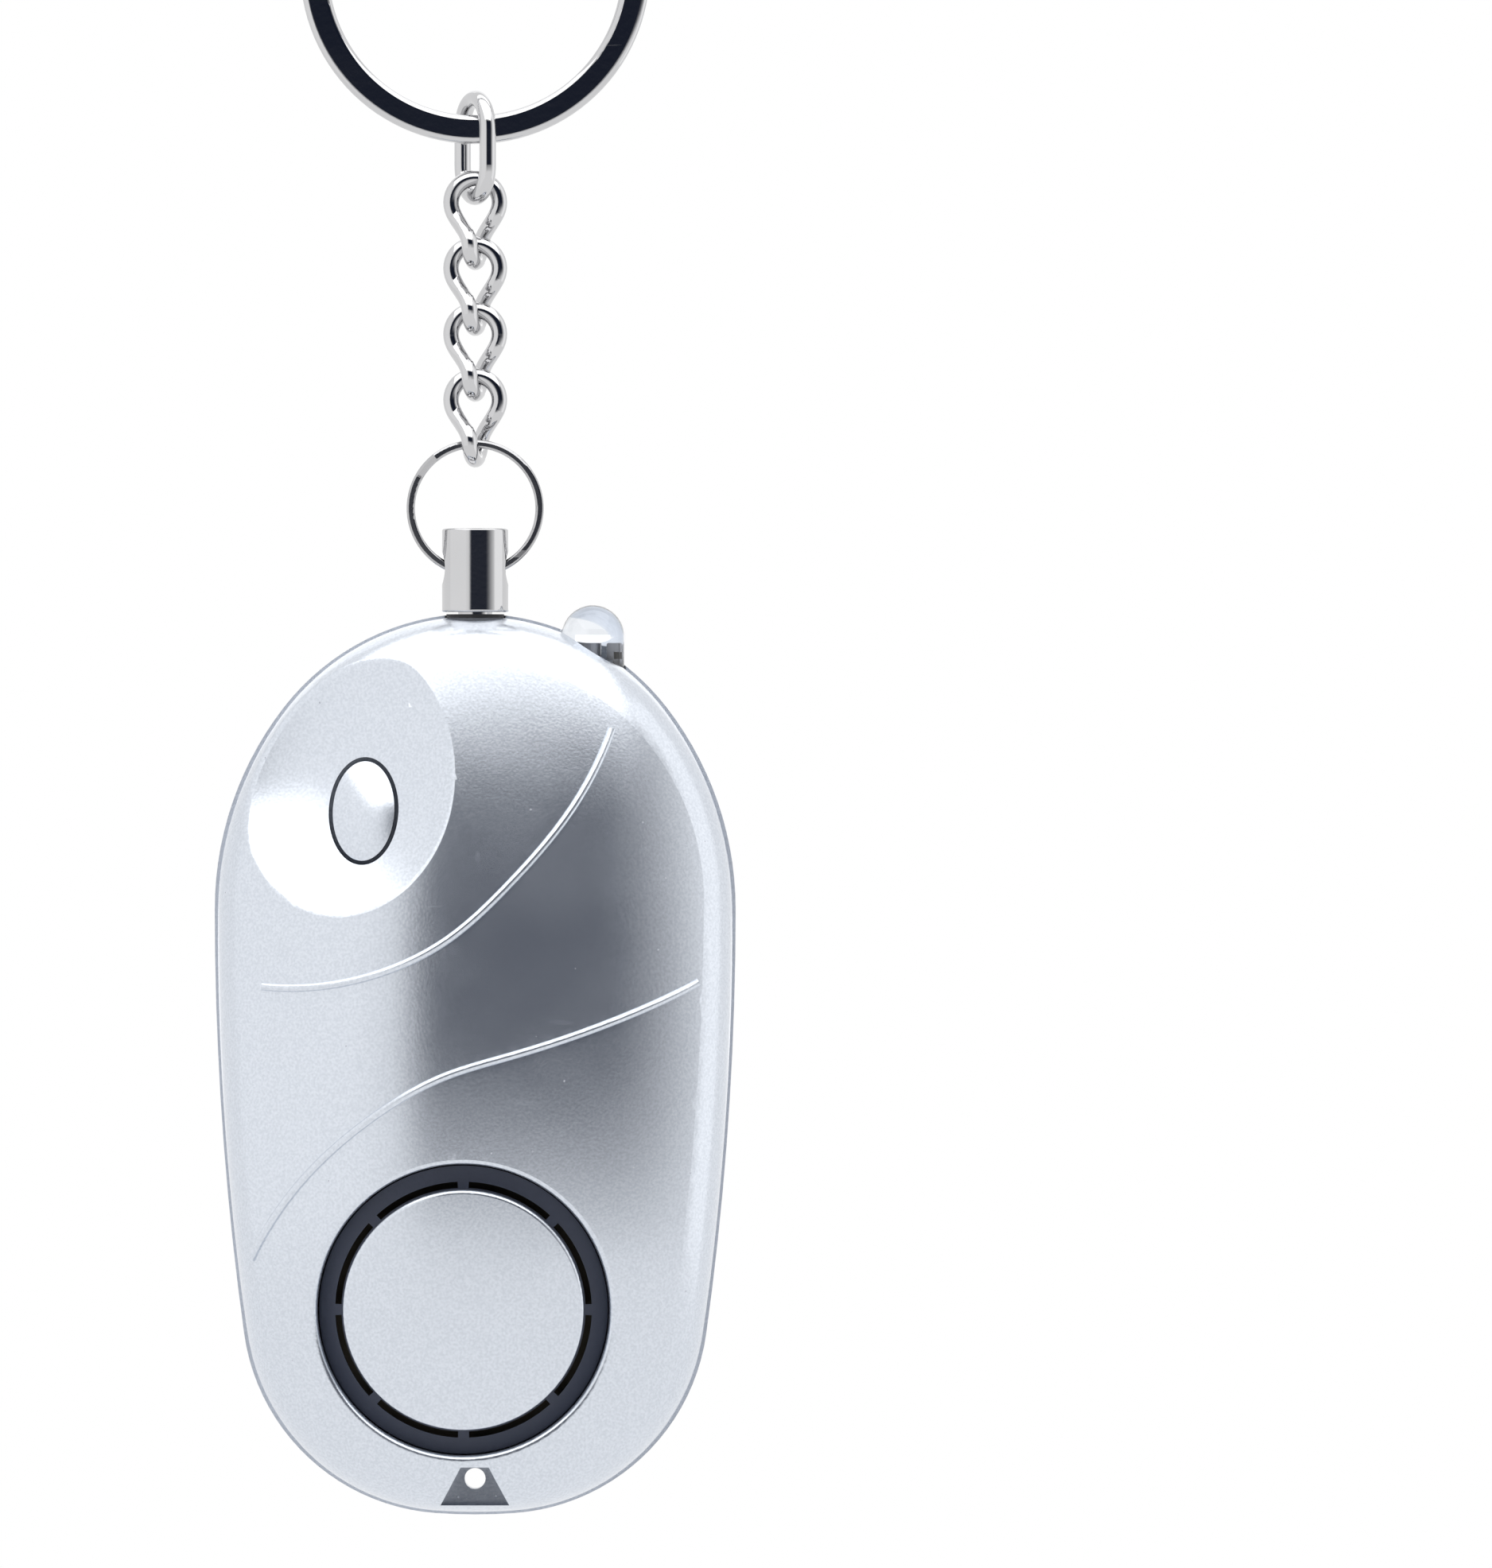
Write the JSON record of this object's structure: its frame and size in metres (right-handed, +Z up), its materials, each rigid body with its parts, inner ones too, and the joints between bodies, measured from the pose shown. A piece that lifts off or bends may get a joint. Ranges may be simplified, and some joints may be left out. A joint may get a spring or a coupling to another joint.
{
  "type": "personal safety alarm",
  "caption": "Pocket personal alarm with a pull pin on a chain and key ring, a thumb-dish light button, a lamp and a round sound outlet.",
  "frame": {"origin": "inner top of the key ring's eye, where a hook or key takes the alarm", "axes": "+Z up along the hanging chain, +X to the right of the face, -Y out of the face"},
  "size_m": [0.0372, 0.0173, 0.1228],
  "materials": {
    "silver_paint": "satin metallic silver paint over moulded plastic",
    "chrome": "bright nickel and chrome plating",
    "dark_steel": "plated spring wire",
    "slot_plastic": "matt dark blue grey",
    "black_plastic": "matt black",
    "clear_resin": "clear moulded resin",
    "plated_steel": "bright zinc plating",
    "spring_brass": "bare brass",
    "ceramic": "fired ceramic",
    "board": "green solder mask",
    "component_black": "moulded epoxy",
    "cell_steel": "nickel plated steel",
    "lead_insulation": "red insulation"
  },
  "bodies": {
    "key_ring": {"key_ring": "chrome"},
    "top_link": {"top_link": "chrome"},
    "chain_link_1": {"chain_link_1": "chrome"},
    "chain_link_2": {"chain_link_2": "chrome"},
    "chain_link_3": {"chain_link_3": "chrome"},
    "chain_link_4": {"chain_link_4": "chrome"},
    "small_ring": {"small_ring": "dark_steel"},
    "pull_pin": {"pull_pin": "chrome"},
    "housing": {"front_shell": "silver_paint", "back_shell": "silver_paint", "sound_cap": "silver_paint", "sound_ring": "slot_plastic", "lamp_lens": "clear_resin", "battery_cradle": "black_plastic", "siren_cup": "black_plastic", "tact_switch": "black_plastic", "lamp_leads": "plated_steel", "cell_contact": "plated_steel", "cell_spring": "plated_steel", "board_screws": "plated_steel", "piezo_plate": "spring_brass", "socket_contacts": "spring_brass", "piezo_ceramic": "ceramic", "circuit_board": "board", "boost_coil": "component_black", "boost_transistor": "component_black", "sound_chip": "component_black", "coin_cell_1": "cell_steel", "coin_cell_2": "cell_steel", "coin_cell_3": "cell_steel", "siren_leads": "lead_insulation", "pin_socket": "black_plastic", "case_screws": "plated_steel"},
    "light_button": {"light_button": "silver_paint", "tact_plunger": "black_plastic"}
  },
  "joints": [
    {"name": "top_link_swing", "type": "hinge", "parent": "key_ring", "child": "top_link", "pos_m": [0, 0, -0.02193], "axis": [1, 0, 0], "range_deg": [-30, 30]},
    {"name": "chain_1_swing", "type": "hinge", "parent": "top_link", "child": "chain_link_1", "pos_m": [0, 0, -0.02672], "axis": [0, 1, 0], "range_deg": [-30, 30]},
    {"name": "chain_2_swing", "type": "hinge", "parent": "chain_link_1", "child": "chain_link_2", "pos_m": [0, 0, -0.0301], "axis": [-1, 0, 0], "range_deg": [-30, 30]},
    {"name": "chain_3_swing", "type": "hinge", "parent": "chain_link_2", "child": "chain_link_3", "pos_m": [0, 0, -0.0361], "axis": [0, -1, 0], "range_deg": [-30, 30]},
    {"name": "chain_4_swing", "type": "hinge", "parent": "chain_link_3", "child": "chain_link_4", "pos_m": [0, 0, -0.0395], "axis": [1, 0, 0], "range_deg": [-30, 30]},
    {"name": "small_ring_swing", "type": "hinge", "parent": "chain_link_4", "child": "small_ring", "pos_m": [0, 0, -0.0455], "axis": [0, 1, 0], "range_deg": [-30, 30]},
    {"name": "pull_pin_swing", "type": "hinge", "parent": "small_ring", "child": "pull_pin", "pos_m": [0, 0, -0.05357], "axis": [-1, 0, 0], "range_deg": [-30, 30]},
    {"name": "pin_pull", "type": "slide", "parent": "pull_pin", "child": "housing", "axis": [0, 0, -1], "range_m": [0, 0.0151]},
    {"name": "light_press", "type": "slide", "parent": "housing", "child": "light_button", "axis": [0, 1, 0], "range_m": [0, 0.0006], "stiffness_N_per_m": 600}
  ]
}
